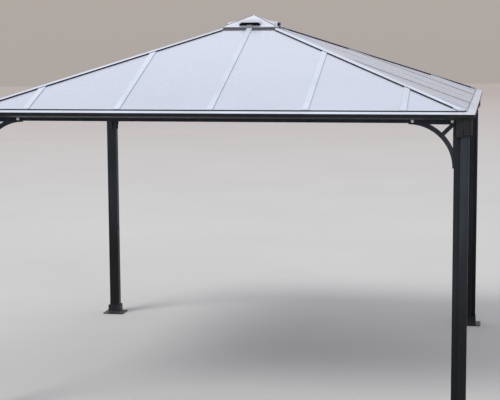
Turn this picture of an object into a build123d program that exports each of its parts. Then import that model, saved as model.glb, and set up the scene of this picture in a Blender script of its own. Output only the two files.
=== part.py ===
from build123d import *
import os
from math import atan, cos, degrees, hypot, radians, sin, sqrt, tan

# Hard-top garden gazebo: four posts, a ring of beams with a gutter round it,
# four glazed slopes on hip rafters and a vented cap over the middle.
# Millimetres, +Z up, centre of the plan on the origin, the front towards -Y.

# eave and roof
eave_half = 1795.0
eave_height = 2160.0
roof_slope = 20.0
fit = 0.3

# posts: a square tube with a second, smaller square wrapped round its outer corner
post_inset = 34.0
post_size = 102.0
post_corner = 58.0
post_step = 35.0
post_wall = 2.5
post_round = 2.0

# feet
foot_flange = 200.0
foot_flange_round = 18.0
foot_plate = 6.0
foot_socket_wall = 5.0
foot_socket_height = 80.0
foot_cove = 16.0
anchor_spacing = 156.0
anchor_hole = 11.0

# beams
beam_width = 50.0
beam_height = 72.0
beam_wall = 2.5
beam_clear = 3.5
slot_depth = 24.0

# braces
brace_thickness = 10.0
brace_leg = 303.0
brace_band = 32.0
brace_strut = 28.0
brace_top_rail = 9.0
brace_side_rail = 7.0
tongue_clear = 4.0
bolt_cap_diameter = 22.0
bolt_cap_rise = 7.0
bolt_margin_post = 11.5
bolt_margin_tip = 27.0
bolt_level = 14.0

# gutter
gutter_wall = 2.5
rim_width = 46.0
rim_lift = 2.5
gutter_face = 20.0
gutter_floor = 32.0
gutter_heel = 35.0
gutter_joint = 0.6
hook_width = 36.0
corner_leg = 170.0
drain_slot = 14.0

# collar under each gutter corner
collar_proud = 18.0
collar_width = 54.0
collar_drop = 116.0
collar_short = 14.0
collar_round = 24.0
tab_margin = 16.0
tab_set_back = 8.0
tab_round = 8.0
shoulder_width = 19.0
shoulder_level = 42.0
groove_width = 9.0
groove_depth = 6.0

# glazing
panel_thickness = 6.0
bar_spacing = 661.0
bar_cap_width = 42.0
bar_cap_height = 6.0
bar_cap_wall = 2.0
bar_web = 6.0
bar_flange = 44.0
bar_flange_thickness = 3.0
bar_stem = 16.0
bar_stem_depth = 28.0

# hips: a shallow folded cap over the rafter, with a rubber strip under each edge
hip_cap_half = 34.0
hip_cap_crown = 7.0
hip_cap_fold = 4.0
hip_cap_thickness = 2.0
hip_cap_closed_end = 40.0
gasket_width = 6.0
gasket_set_back = 1.0
hip_web = 6.0
hip_wing_half = 29.0
hip_wing_thickness = 3.0
hip_stem = 25.0
hip_stem_depth = 48.0

# vent frame and cap
vent_half = 211.0
vent_tube = 25.0
vent_stand = 16.5
vent_lip = 2.0
vent_apron = 42.0
vent_apron_thickness = 3.0
hood_set_in = 6.0
hood_rim = 6.0
hood_rise = 91.0
hood_wall = 2.5
clip_thickness = 3.0
clip_height = 13.0
brow_width = 170.0
brow_height = 25.0
brow_wall = 4.0
brow_set_back = 3.0
brow_pitch = 9.0

# values that follow from the ones above
rise = tan(radians(roof_slope))
run = cos(radians(roof_slope))
lift = sin(radians(roof_slope))
panel_drop = panel_thickness / run
slope_edge = eave_half - rim_width - drain_slot
post_outer = eave_half - post_inset
body_size = post_size - post_step
body_outer = post_outer - post_step
post_inner = post_outer - post_size
post_middle = post_outer - post_size / 2
beam_outer = body_outer
beam_inner = beam_outer - beam_width
beam_middle = beam_outer - beam_width / 2
beam_top = eave_height + (eave_half - slope_edge) * rise - panel_drop - beam_clear
beam_bottom = beam_top - beam_height
slot_width = brace_thickness + 2 * fit
hook_top = beam_top + fit + gutter_wall
floor_level = eave_height - gutter_floor
hip_rise = rise / sqrt(2)
hip_clear = (hip_web / 2 + fit) * sqrt(2) + panel_thickness * lift


def roof_level(reach):
    """Height of the glazing's top face at a plan distance from the centre line."""
    return eave_height + (eave_half - reach) * rise


# posts, made at the front right and turned to the other corners
with BuildPart() as post:
    with BuildSketch(Plane.XY.offset(foot_plate + fit)) as post_profile:
        with Locations((post_outer, -post_outer)):
            Rectangle(post_corner, post_corner, align=(Align.MAX, Align.MIN))
        with Locations((body_outer, -body_outer)):
            Rectangle(body_size, body_size, align=(Align.MAX, Align.MIN))
        fillet(post_profile.vertices(), radius=post_round)
        offset(amount=-post_wall, mode=Mode.SUBTRACT)
    extrude(amount=floor_level - gutter_wall - fit - foot_plate - fit)
    with BuildSketch(Plane.XY.offset(floor_level - gutter_wall - fit)) as body_profile:
        with Locations((body_outer, -body_outer)):
            Rectangle(body_size, body_size, align=(Align.MAX, Align.MIN))
        fillet(body_profile.vertices(), radius=post_round)
        offset(amount=-post_wall, mode=Mode.SUBTRACT)
    extrude(amount=beam_top - floor_level + gutter_wall + fit)

# feet: a flanged plate with a socket and a cove round it
with BuildPart() as foot:
    with BuildSketch():
        with Locations((post_middle, -post_middle)):
            RectangleRounded(foot_flange, foot_flange, foot_flange_round)
    extrude(amount=foot_plate)
    with BuildSketch(Plane.XY.offset(foot_plate)):
        with Locations((post_middle, -post_middle)):
            Rectangle(post_size + 2 * foot_socket_wall, post_size + 2 * foot_socket_wall)
    extrude(amount=foot_socket_height - foot_plate)
    fillet(
        foot.edges().filter_by(Axis.Z).group_by(Axis.Z)[-1],
        radius=foot_socket_wall,
    )
    fillet(
        foot.faces().filter_by(Axis.Z).sort_by(Axis.Z)[1].inner_wires().edges(),
        radius=foot_cove,
    )
    with BuildSketch(Plane.XY.offset(foot_plate)) as socket_profile:
        with Locations((post_outer, -post_outer)):
            Rectangle(post_corner, post_corner, align=(Align.MAX, Align.MIN))
        with Locations((body_outer, -body_outer)):
            Rectangle(body_size, body_size, align=(Align.MAX, Align.MIN))
        fillet(socket_profile.vertices(), radius=post_round)
        offset(amount=fit)
    extrude(amount=foot_socket_height, mode=Mode.SUBTRACT)
    with BuildSketch():
        with Locations((post_middle, -post_middle)):
            with GridLocations(anchor_spacing, 0, 2, 1):
                Circle(anchor_hole / 2)
    extrude(amount=foot_plate, mode=Mode.SUBTRACT)

# section planes: local x points out of the front, local y up
front_section = Plane(origin=(0, 0, 0), x_dir=(0, -1, 0), z_dir=(-1, 0, 0))

# beams: a box section with a slot along its underside for the braces
with BuildPart() as beam:
    with BuildSketch(front_section):
        with Locations((beam_middle, beam_bottom)):
            Rectangle(beam_width, beam_height, align=(Align.CENTER, Align.MIN))
            Rectangle(slot_width, slot_depth, align=(Align.CENTER, Align.MIN), mode=Mode.SUBTRACT)
        offset(amount=-beam_wall, mode=Mode.SUBTRACT)
    extrude(amount=post_inner - fit, both=True)

# gutter: a rim that carries the roof's slope on, a face, a raked floor and a hook over the beam,
# in two lengths that meet in the middle of the side
gutter_outline = [
    (eave_half - rim_width, roof_level(eave_half - rim_width)),
    (eave_half, eave_height + rim_lift),
    (eave_half, eave_height - gutter_face),
    (eave_half - gutter_heel, floor_level - gutter_wall),
    (beam_outer + fit, floor_level - gutter_wall),
    (beam_outer + fit, beam_top + fit),
]
with BuildSketch() as gutter_profile:
    with BuildLine():
        shell_line = Polyline(
            *gutter_outline,
            (beam_outer + fit + gutter_wall - hook_width, beam_top + fit),
        )
        offset(
            shell_line,
            amount=gutter_wall,
            side=Side.RIGHT,
            closed=True,
            kind=Kind.INTERSECTION,
        )
    make_face()
with BuildSketch() as channel_profile:
    with BuildLine():
        Polyline(*gutter_outline, close=True)
    make_face()
with BuildPart() as gutter:
    with BuildSketch(front_section.offset(-gutter_joint / 2)):
        add(gutter_profile.sketch)
    extrude(amount=-(eave_half - corner_leg - fit - gutter_joint / 2))
    mirror(about=Plane.YZ)

# gutter corners: the same section mitred round the corner, with a collar on the post;
# the collar narrows at a shoulder and a groove parts it from the flat tabs beside it
corner_section = front_section.offset(-(eave_half - corner_leg))
mitre = Plane(origin=(0, 0, 0), z_dir=(1, 1, 0))
with BuildPart() as corner_shell:
    with BuildSketch(corner_section):
        add(gutter_profile.sketch)
    extrude(amount=-corner_leg)
    split(bisect_by=mitre, keep=Keep.BOTTOM)
    mirror(about=mitre)
with BuildPart() as corner_channel:
    with BuildSketch(corner_section):
        add(channel_profile.sketch)
    extrude(amount=-corner_leg)
    split(bisect_by=mitre, keep=Keep.BOTTOM)
    mirror(about=mitre)
collar_outer = post_outer + collar_proud
collar_inner = collar_outer - collar_width
tab_outer = collar_outer - tab_set_back
tab_width = collar_inner - post_inner - tab_margin
collar_top = eave_height - gutter_face
collar_bottom = collar_top + gutter_face - gutter_floor - collar_drop
shoulder_line = [
    (collar_inner + shoulder_width, collar_top),
    (collar_inner + shoulder_width, collar_bottom + shoulder_level + shoulder_width),
    (collar_inner, collar_bottom + shoulder_level),
]
groove_edge = [(x - groove_width, z) for x, z in shoulder_line]
with BuildPart() as gutter_corner:
    with BuildSketch(Plane.XY.offset(collar_bottom + collar_short)) as collar_profile:
        with Locations((collar_outer, -collar_outer)):
            Rectangle(collar_width, collar_width, align=(Align.MAX, Align.MIN))
        fillet(
            collar_profile.vertices().sort_by(Axis.X)[-2:].sort_by(Axis.Y)[0],
            radius=collar_round,
        )
    extrude(amount=collar_top - collar_bottom - collar_short)
    with BuildSketch(Plane.XZ.offset(tab_outer)) as tab_profile:
        with Locations((collar_inner + fit, collar_bottom)):
            Rectangle(
                tab_width + fit,
                collar_top - collar_bottom,
                align=(Align.MAX, Align.MIN),
            )
        fillet(tab_profile.vertices().sort_by(Axis.Y)[:2].sort_by(Axis.X)[0], radius=tab_round)
    extrude(amount=-(tab_outer - body_outer))
    with BuildSketch(Plane.XZ.offset(tab_outer)):
        with BuildLine():
            Polyline(*shoulder_line, (collar_inner, collar_top), close=True)
        make_face()
    extrude(amount=tab_set_back, mode=Mode.SUBTRACT)
    with BuildSketch(Plane.XZ.offset(tab_outer)):
        with BuildLine():
            Polyline(
                *shoulder_line,
                (collar_inner, collar_bottom),
                (collar_inner - groove_width, collar_bottom),
                *reversed(groove_edge),
                close=True,
            )
        make_face()
    extrude(amount=-groove_depth, mode=Mode.SUBTRACT)
    mirror(about=mitre)
    add(corner_channel.part, mode=Mode.SUBTRACT)
    with BuildSketch(Plane.XY.offset(collar_bottom)):
        with Locations((body_outer, -body_outer)):
            Rectangle(body_size, body_size, align=(Align.MAX, Align.MIN))
        offset(amount=fit, kind=Kind.INTERSECTION)
    extrude(amount=collar_top - collar_bottom, mode=Mode.SUBTRACT)
    add(corner_shell.part)
    with BuildSketch(Plane.XY.offset(collar_bottom)) as pocket_profile:
        with Locations((post_outer, -post_outer)):
            Rectangle(post_corner, post_corner, align=(Align.MAX, Align.MIN))
        with Locations((body_outer, -body_outer)):
            Rectangle(body_size, body_size, align=(Align.MAX, Align.MIN))
        fillet(pocket_profile.vertices(), radius=post_round)
        offset(amount=fit)
    extrude(amount=floor_level - gutter_wall - collar_bottom, mode=Mode.SUBTRACT)

# braces: a curved band with a strut back to the corner, and a tongue up in the beam's slot
brace_plane = Plane(
    origin=(post_inner - fit, -beam_middle, beam_bottom), x_dir=(1, 0, 0), z_dir=(0, -1, 0)
)
bow_radius = brace_leg - brace_top_rail
with BuildPart() as brace:
    with BuildSketch(brace_plane):
        Rectangle(brace_leg, brace_leg, align=(Align.MAX, Align.MAX))
        with Locations((-brace_leg, -brace_leg)):
            Circle(bow_radius, mode=Mode.SUBTRACT)
        with BuildSketch(mode=Mode.PRIVATE) as cells:
            with Locations((-brace_side_rail, -brace_top_rail)):
                Rectangle(brace_leg, brace_leg, align=(Align.MAX, Align.MAX))
            with Locations((-brace_leg, -brace_leg)):
                Circle(bow_radius + brace_band, mode=Mode.SUBTRACT)
            Rectangle(2 * brace_leg, brace_strut, rotation=45, mode=Mode.SUBTRACT)
        add(cells.sketch, mode=Mode.SUBTRACT)
        Rectangle(brace_leg, slot_depth - tongue_clear, align=(Align.MAX, Align.MIN))
    extrude(amount=brace_thickness / 2, both=True)

with BuildPart() as brace_mirrored:
    mirror(brace.part, about=Plane.YZ)

# domed caps over the brace bolts, two to a brace on the beam's outer face
with BuildPart() as brace_bolt_caps:
    with BuildSketch(Plane.XZ.offset(beam_outer + fit)):
        for side in (-1, 1):
            with Locations(
                (side * (post_inner - bolt_margin_post), beam_bottom + bolt_level),
                (side * (post_inner - brace_leg + bolt_margin_tip), beam_bottom + bolt_level),
            ):
                Circle(bolt_cap_diameter / 2)
    extrude(amount=bolt_cap_rise)
    fillet(
        brace_bolt_caps.faces().filter_by(Axis.Y).group_by(Axis.Y)[0].edges(),
        radius=0.8 * bolt_cap_rise,
    )
    front_caps = brace_bolt_caps.part
    for turn in (90, 180, 270):
        add(front_caps.rotate(Axis.Z, turn))

# slope planes: local x along the eave, local y up the slope
front_slope = Plane(
    origin=(0, -eave_half, eave_height), x_dir=(1, 0, 0), z_dir=(0, -lift, run)
)
slope_start = (eave_half - slope_edge) / run
slope_head = vent_half + fit + panel_thickness * lift
slope_end = (eave_half - slope_head) / run
bar_places = [index * bar_spacing for index in range(-2, 3)]
with BuildPart() as roof_panels:
    with BuildSketch(front_slope):
        with BuildLine():
            Polyline(
                (-(slope_edge - hip_clear), slope_start),
                (slope_edge - hip_clear, slope_start),
                (slope_head - hip_clear, slope_end),
                (-(slope_head - hip_clear), slope_end),
                close=True,
            )
        make_face()
        with Locations([(place, 0) for place in bar_places]):
            Rectangle(
                bar_web + 2 * fit,
                2 * eave_half,
                align=(Align.CENTER, Align.MIN),
                mode=Mode.SUBTRACT,
            )
    extrude(amount=-panel_thickness)

def slope_plan(hip_side, head):
    """Plan of the front slope as far as hip_side from each hip and head from the centre."""
    hip_reach = hip_side * sqrt(2)
    with BuildSketch(mode=Mode.PRIVATE) as plan:
        with BuildLine():
            Polyline(
                (-(eave_half - hip_reach), -eave_half),
                (eave_half - hip_reach, -eave_half),
                (vent_half, -(vent_half + hip_reach)),
                (vent_half, -head),
                (-vent_half, -head),
                (-vent_half, -(vent_half + hip_reach)),
                close=True,
            )
        make_face()
    return plan.sketch


# glazing bars: a shallow channel over the panels, then a web, a flange and a stem below
bar_section = Plane(
    origin=(0, -slope_edge, roof_level(slope_edge)), x_dir=(1, 0, 0), z_dir=(0, -run, -lift)
)
bar_length = (slope_edge - vent_half) / run
with BuildPart() as bar_caps:
    with BuildSketch(bar_section):
        with Locations([(place, fit) for place in bar_places]):
            Rectangle(bar_cap_width, bar_cap_height, align=(Align.CENTER, Align.MIN))
            Rectangle(
                bar_cap_width - 2 * bar_cap_wall,
                bar_cap_height - bar_cap_wall,
                align=(Align.CENTER, Align.MIN),
                mode=Mode.SUBTRACT,
            )
        with Locations([(place, 0) for place in bar_places]):
            Rectangle(bar_web, fit + bar_cap_height, align=(Align.CENTER, Align.MIN))
    extrude(amount=-bar_length)
    with BuildSketch():
        add(slope_plan(hip_cap_half + fit, vent_half + clip_thickness + 2 * fit))
    extrude(amount=2 * eave_height, mode=Mode.INTERSECT)
with BuildPart() as glazing_bars:
    with BuildSketch(bar_section):
        with Locations([(place, 0) for place in bar_places]):
            Rectangle(bar_web, panel_thickness + fit, align=(Align.CENTER, Align.MAX))
        with Locations([(place, -panel_thickness - fit) for place in bar_places]):
            Rectangle(bar_flange, bar_flange_thickness, align=(Align.CENTER, Align.MAX))
            Rectangle(
                bar_stem,
                bar_flange_thickness + bar_stem_depth,
                align=(Align.CENTER, Align.MAX),
            )
    extrude(amount=-bar_length)
    with BuildSketch():
        add(slope_plan(hip_wing_half + fit, vent_half + fit))
    extrude(amount=2 * eave_height, mode=Mode.INTERSECT)
    with BuildSketch(front_section):
        with Locations((beam_inner - fit, beam_bottom)):
            Rectangle(
                eave_half - beam_inner,
                hook_top + fit - beam_bottom,
                align=(Align.MIN, Align.MIN),
            )
    extrude(amount=eave_half, both=True, mode=Mode.SUBTRACT)
    add(bar_caps.part)

# hips: sections stand upright across the diagonal and run up the hip line
hip_section = Plane(
    origin=(vent_half + fit, -(vent_half + fit), roof_level(vent_half + fit)),
    x_dir=(1, 1, 0),
    z_dir=(1, -1, 0),
)
hip_direction = (1, -1, -rise)
hip_length = (eave_half - vent_half) * sqrt(2)
wing_top = -panel_drop - fit
cap_under = hip_cap_crown - hip_cap_thickness
cap_edge = hip_cap_crown - hip_cap_fold
web_top = cap_under - fit - hip_web / 2 * (hip_cap_fold / hip_cap_half)
gasket_outer = hip_cap_half - gasket_set_back
gasket_inner = gasket_outer - gasket_width
closed_start = slope_edge - hip_cap_closed_end


def corner_plan(outer):
    """Square plan of the front right corner, from the vent frame out to a distance."""
    with BuildSketch(mode=Mode.PRIVATE) as plan:
        with Locations((vent_half + fit, -(vent_half + fit))):
            Rectangle(
                outer - vent_half - fit, outer - vent_half - fit, align=(Align.MIN, Align.MAX)
            )
    return plan.sketch


with BuildPart() as hip_rafter:
    with BuildSketch(hip_section):
        with BuildLine():
            Polyline(
                (0, wing_top),
                (hip_wing_half, wing_top - hip_wing_half * hip_rise),
                (hip_wing_half, wing_top - hip_wing_half * hip_rise - hip_wing_thickness),
                (hip_stem / 2, wing_top - hip_stem / 2 * hip_rise - hip_wing_thickness),
                (hip_stem / 2, wing_top - hip_stem_depth),
                (0, wing_top - hip_stem_depth),
            )
            mirror(about=Plane.YZ)
        make_face()
        with Locations((0, wing_top - hip_web / 2 * hip_rise)):
            Rectangle(hip_web, web_top - wing_top, align=(Align.CENTER, Align.MIN))
    extrude(amount=hip_length, dir=hip_direction)
    with BuildSketch():
        add(corner_plan(slope_edge))
    extrude(amount=2 * eave_height, mode=Mode.INTERSECT)
    with BuildSketch():
        with Locations((post_inner - fit, -(post_inner - fit))):
            Rectangle(eave_half, eave_half, align=(Align.MIN, Align.MAX))
        with Locations((0, -(beam_inner - fit))):
            Rectangle(eave_half, eave_half, align=(Align.MIN, Align.MAX))
        with Locations((beam_inner - fit, 0)):
            Rectangle(eave_half, eave_half, align=(Align.MIN, Align.MAX))
    extrude(amount=hook_top + fit, mode=Mode.SUBTRACT)


def cap_underside(reach):
    """Height of the hip cap's underside over the hip line at a distance to its side."""
    return cap_under - reach * hip_cap_fold / hip_cap_half


# the closed lower end of a hip cap: it reaches down to the panels on both sides of the web
with BuildPart() as hip_cap_end:
    with BuildSketch(hip_section):
        with BuildLine():
            Polyline(
                (hip_web / 2 + fit, cap_underside(hip_web / 2 + fit) + hip_cap_thickness),
                (hip_cap_half, cap_edge),
                (hip_cap_half, fit - hip_cap_half * hip_rise),
                (hip_web / 2 + fit, fit - (hip_web / 2 + fit) * hip_rise),
                close=True,
            )
        make_face()
        mirror(about=Plane.YZ)
    extrude(amount=hip_length, dir=hip_direction)
    with BuildSketch():
        add(corner_plan(slope_edge))
        add(corner_plan(closed_start), mode=Mode.SUBTRACT)
    extrude(amount=2 * eave_height, mode=Mode.INTERSECT)

with BuildPart() as hip_caps:
    with BuildSketch(hip_section):
        with BuildLine():
            Polyline(
                (0, cap_under),
                (hip_cap_half, cap_underside(hip_cap_half)),
                (hip_cap_half, cap_edge),
                (0, hip_cap_crown),
                (-hip_cap_half, cap_edge),
                (-hip_cap_half, cap_underside(hip_cap_half)),
                close=True,
            )
        make_face()
    extrude(amount=hip_length, dir=hip_direction)
    with BuildSketch():
        add(corner_plan(slope_edge))
    extrude(amount=2 * eave_height, mode=Mode.INTERSECT)
    add(hip_cap_end.part)
    for turn in (90, 180, 270):
        add(hip_caps.part.solids()[0].rotate(Axis.Z, turn))

# rubber strips under the hip caps' edges, from the vent frame to the closed ends
with BuildPart() as hip_gaskets:
    with BuildSketch(hip_section):
        with BuildLine():
            Polyline(
                (gasket_inner, fit - gasket_inner * hip_rise),
                (gasket_outer, fit - gasket_outer * hip_rise),
                (gasket_outer, cap_underside(gasket_outer) - fit),
                (gasket_inner, cap_underside(gasket_inner) - fit),
                close=True,
            )
        make_face()
        mirror(about=Plane.YZ)
    extrude(amount=hip_length, dir=hip_direction)
    with BuildSketch():
        add(corner_plan(closed_start - fit))
    extrude(amount=2 * eave_height, mode=Mode.INTERSECT)
    corner_strips = hip_gaskets.part
    for turn in (90, 180, 270):
        add(corner_strips.rotate(Axis.Z, turn))

# apron of the vent frame, made for the front: it lies on the panels between the hip caps
apron_foot = (eave_half - vent_half - vent_apron) / run
apron_head = (eave_half - vent_half + vent_tube / 2) / run
apron_clear = (hip_cap_half + 2 * fit) * sqrt(2)
with BuildPart() as vent_apron_front:
    with BuildSketch(front_slope.offset(fit)):
        with BuildLine():
            Polyline(
                (-(vent_half + vent_apron - apron_clear), apron_foot),
                (vent_half + vent_apron - apron_clear, apron_foot),
                (vent_half - vent_tube / 2 - apron_clear, apron_head),
                (-(vent_half - vent_tube / 2 - apron_clear), apron_head),
                close=True,
            )
        make_face()
        with Locations((0, apron_foot)):
            Rectangle(
                bar_cap_width + 2 * fit,
                2 * (apron_head - apron_foot),
                mode=Mode.SUBTRACT,
            )
    extrude(amount=vent_apron_thickness)

# vent frame: a square ring that the roof runs up to, open through the middle
vent_top = roof_level(vent_half) + vent_stand
vent_bottom = roof_level(vent_half) - panel_drop - fit - hip_stem_depth - vent_lip
with BuildPart() as vent_frame:
    for turn in (0, 90, 180, 270):
        add(vent_apron_front.part.rotate(Axis.Z, turn))
    with BuildSketch(Plane.XY.offset(vent_top)):
        Rectangle(2 * vent_half, 2 * vent_half)
    extrude(amount=vent_bottom - vent_top)
    with BuildSketch(Plane.XY.offset(vent_top)):
        Rectangle(2 * (vent_half - vent_tube), 2 * (vent_half - vent_tube))
    extrude(amount=vent_bottom - vent_top, mode=Mode.SUBTRACT)

# eyebrow over one vent and the opening under it, made for the front face: a half of a
# rounded rectangle that runs back and up into the hood
hood_half = vent_half - hood_set_in
hood_base = vent_top + fit
hood_eave = hood_base + hood_rim
hood_slope = hood_rise / hood_half
brow_climb = tan(radians(brow_pitch))
brow_direction = (0, cos(radians(brow_pitch)), sin(radians(brow_pitch)))
brow_depth = (brow_height + brow_wall) / (hood_slope - brow_climb)
brow_round = 0.9 * brow_height
with BuildPart() as brow:
    with BuildSketch(Plane.XZ.offset(hood_half - brow_set_back)):
        with Locations((0, hood_eave)):
            RectangleRounded(
                brow_width + 2 * brow_wall, 2 * (brow_height + brow_wall), brow_round + brow_wall
            )
            Rectangle(
                2 * hood_half, hood_half, align=(Align.CENTER, Align.MAX), mode=Mode.SUBTRACT
            )
    extrude(amount=brow_depth / cos(radians(brow_pitch)), dir=brow_direction)
with BuildPart() as brow_opening:
    with BuildSketch(Plane.XZ.offset(hood_half + fit)):
        with Locations((0, hood_eave - (brow_set_back + fit) * brow_climb)):
            RectangleRounded(brow_width, 2 * brow_height, brow_round)
            Rectangle(
                2 * hood_half, hood_half, align=(Align.CENTER, Align.MAX), mode=Mode.SUBTRACT
            )
    extrude(
        amount=(brow_depth + brow_set_back + fit) / cos(radians(brow_pitch)), dir=brow_direction
    )

# clip in the middle of one side: it bears on the frame and hooks down over its face
clip_outer = vent_half + fit + clip_thickness
with BuildPart() as clip:
    with BuildSketch(front_section):
        with Locations((clip_outer, hood_base)):
            Rectangle(
                clip_outer - hood_half + hood_wall, clip_height, align=(Align.MAX, Align.MIN)
            )
        with Locations((clip_outer, hood_base + clip_height)):
            Rectangle(
                clip_thickness,
                hood_base + clip_height - roof_level(vent_half) - fit,
                align=(Align.MAX, Align.MAX),
            )
    extrude(amount=bar_cap_width / 2, both=True)

# vented cap: a thin pyramid on an upright rim with an eyebrow vent in each face
lining_eave = hood_eave - hood_wall * (hypot(1, hood_slope) - hood_slope)
lining_half = hood_half - hood_wall
with BuildPart() as vent_cap:
    with BuildSketch(Plane.XY.offset(hood_base)):
        Rectangle(2 * hood_half, 2 * hood_half)
    extrude(amount=hood_rim)
    with BuildSketch(Plane.XY.offset(hood_eave)):
        Rectangle(2 * hood_half, 2 * hood_half)
    extrude(amount=hood_rise, taper=90 - degrees(atan(hood_slope)))
    for turn in (0, 90, 180, 270):
        add(brow.part.rotate(Axis.Z, turn))
    with BuildSketch(Plane.XY.offset(hood_base)):
        Rectangle(2 * lining_half, 2 * lining_half)
    extrude(amount=lining_eave - hood_base, mode=Mode.SUBTRACT)
    with BuildSketch(Plane.XY.offset(lining_eave)):
        Rectangle(2 * lining_half, 2 * lining_half)
    extrude(
        amount=lining_half * hood_slope,
        taper=90 - degrees(atan(hood_slope)),
        mode=Mode.SUBTRACT,
    )
    for turn in (0, 90, 180, 270):
        add(brow_opening.part.rotate(Axis.Z, turn), mode=Mode.SUBTRACT)
    for turn in (0, 90, 180, 270):
        add(clip.part.rotate(Axis.Z, turn))

# pieces made once, then turned or mirrored to their places
corners = ("front_right", "back_right", "back_left", "front_left")
sides = ("front", "right", "back", "left")
right_ends = ("front_right", "right_back", "back_left", "left_front")
left_ends = ("front_left", "right_front", "back_right", "left_back")
turned = (
    ("post", corners, post),
    ("gutter_corner", corners, gutter_corner),
    ("hip_rafter", corners, hip_rafter),
    ("beam", sides, beam),
    ("gutter", sides, gutter),
    ("glazing_bars", sides, glazing_bars),
    ("roof_panels", sides, roof_panels),
    ("brace", right_ends, brace),
    ("brace", left_ends, brace_mirrored),
)
os.makedirs("parts", exist_ok=True)
for kind, places, source in turned:
    for index, place in enumerate(places):
        with BuildPart() as placed:
            add(source.part.rotate(Axis.Z, 90 * index))
        placed.part.label = f"{kind}_{place}"
        export_step(placed.part, f"parts/{kind}_{place}.step")

with BuildPart() as foot_front_left:
    mirror(foot.part, about=Plane.YZ)
with BuildPart() as foot_back_right:
    mirror(foot.part, about=Plane.XZ)
with BuildPart() as foot_back_left:
    mirror(foot_front_left.part, about=Plane.XZ)
foot.part.label = "foot_front_right"
export_step(foot.part, "parts/foot_front_right.step")
foot_front_left.part.label = "foot_front_left"
export_step(foot_front_left.part, "parts/foot_front_left.step")
foot_back_right.part.label = "foot_back_right"
export_step(foot_back_right.part, "parts/foot_back_right.step")
foot_back_left.part.label = "foot_back_left"
export_step(foot_back_left.part, "parts/foot_back_left.step")

hip_gaskets.part.label = "hip_gaskets"
export_step(hip_gaskets.part, "parts/hip_gaskets.step")
hip_caps.part.label = "hip_caps"
export_step(hip_caps.part, "parts/hip_caps.step")
brace_bolt_caps.part.label = "brace_bolt_caps"
export_step(brace_bolt_caps.part, "parts/brace_bolt_caps.step")
vent_frame.part.label = "vent_frame"
export_step(vent_frame.part, "parts/vent_frame.step")
vent_cap.part.label = "vent_cap"
export_step(vent_cap.part, "parts/vent_cap.step")
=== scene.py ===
from math import cos, pi, radians, sin, sqrt, tan

import bmesh
import bpy
from mathutils import Matrix, Vector


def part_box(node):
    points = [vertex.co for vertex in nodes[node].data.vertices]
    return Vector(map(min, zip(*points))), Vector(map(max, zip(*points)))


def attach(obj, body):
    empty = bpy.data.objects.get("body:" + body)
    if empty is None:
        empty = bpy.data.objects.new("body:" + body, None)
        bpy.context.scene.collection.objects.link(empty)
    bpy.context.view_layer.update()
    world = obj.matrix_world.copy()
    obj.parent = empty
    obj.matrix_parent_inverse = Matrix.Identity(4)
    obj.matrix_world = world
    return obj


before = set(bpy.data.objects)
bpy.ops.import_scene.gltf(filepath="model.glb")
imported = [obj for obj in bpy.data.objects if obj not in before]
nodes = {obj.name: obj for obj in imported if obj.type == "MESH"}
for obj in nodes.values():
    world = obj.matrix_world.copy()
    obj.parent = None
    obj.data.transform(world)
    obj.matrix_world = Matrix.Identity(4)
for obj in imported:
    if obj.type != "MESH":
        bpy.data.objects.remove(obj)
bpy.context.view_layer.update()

# Sizes of the solids, in metres.
SLOPE = radians(20.0)
PANEL = 0.006
BAR_SPACING = 0.661
BAR_PLACES = [index * BAR_SPACING for index in range(-2, 3)]
BAR_WIDTH = 0.042
BAR_RISE = 0.006
HIP_CAP_HALF = 0.034
RIM_WIDTH = 0.046
RIM_LIFT = 0.0025
GUTTER_FACE = 0.020
VENT_HALF = 0.2113
APRON_LEAN = 0.0011
HOOD_SET_IN = 0.0093
HOOD_RISE = 0.091
BROW_HALF = 0.085
BROW_HEIGHT = 0.025
BROW_ROUND = 0.9 * BROW_HEIGHT
SIDE_NAMES = ("front", "right", "back", "left")

# Places read from the solids. The roof plane leaves the eave at EAVE_LEVEL and rises inwards.
gutter_low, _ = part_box("gutter_front")
panel_low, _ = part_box("roof_panels_front")
_, frame_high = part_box("vent_frame")
_, cap_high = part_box("vent_cap")
_, post_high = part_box("post_front_right")
EAVE_HALF = -gutter_low.y
SLOPE_EDGE = -panel_low.y
EDGE_LEVEL = panel_low.z + PANEL * cos(SLOPE)
EAVE_LEVEL = EDGE_LEVEL - (EAVE_HALF - SLOPE_EDGE) * tan(SLOPE)
HOOD_HALF = cap_high.x - HOOD_SET_IN
HOOD_EAVE = cap_high.z - HOOD_RISE
APRON_REACH = frame_high.x - APRON_LEAN

# Where a look on a solid begins, ends or fades, in metres.
APRON_LEVEL = frame_high.z - 0.0115
APRON_FADE = (APRON_REACH - 0.010, APRON_REACH - 0.003)
STRIP_LEVEL = frame_high.z - 0.0020
CLIP_REACH = cap_high.x - 0.0088
BROW_FADE = (0.073, 0.089)
BROW_PATCH = (0.112, 0.052)
WRAP_REACH = post_high.x - 0.016
POST_FADE = (1.75, 0.6)
HIP_FADE = (1.2, 1.6)
DUST_HEIGHT = 0.3
RIM_LEVEL = -0.0008
GLAZING_LEVEL = 0.0001
GUTTER_FOOT = EAVE_LEVEL - GUTTER_FACE
RAKE_LEVEL = GUTTER_FOOT - 0.0005
MOULDING_FADE = (GUTTER_FOOT, EAVE_LEVEL - 0.8 * GUTTER_FACE)
SHEET_FADE = (1.5, 0.2)
SHEET_FOOT = (SLOPE_EDGE - 0.35, SLOPE_EDGE)
FLUTE = 0.0085
COAT_GRAIN = 0.0002

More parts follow.
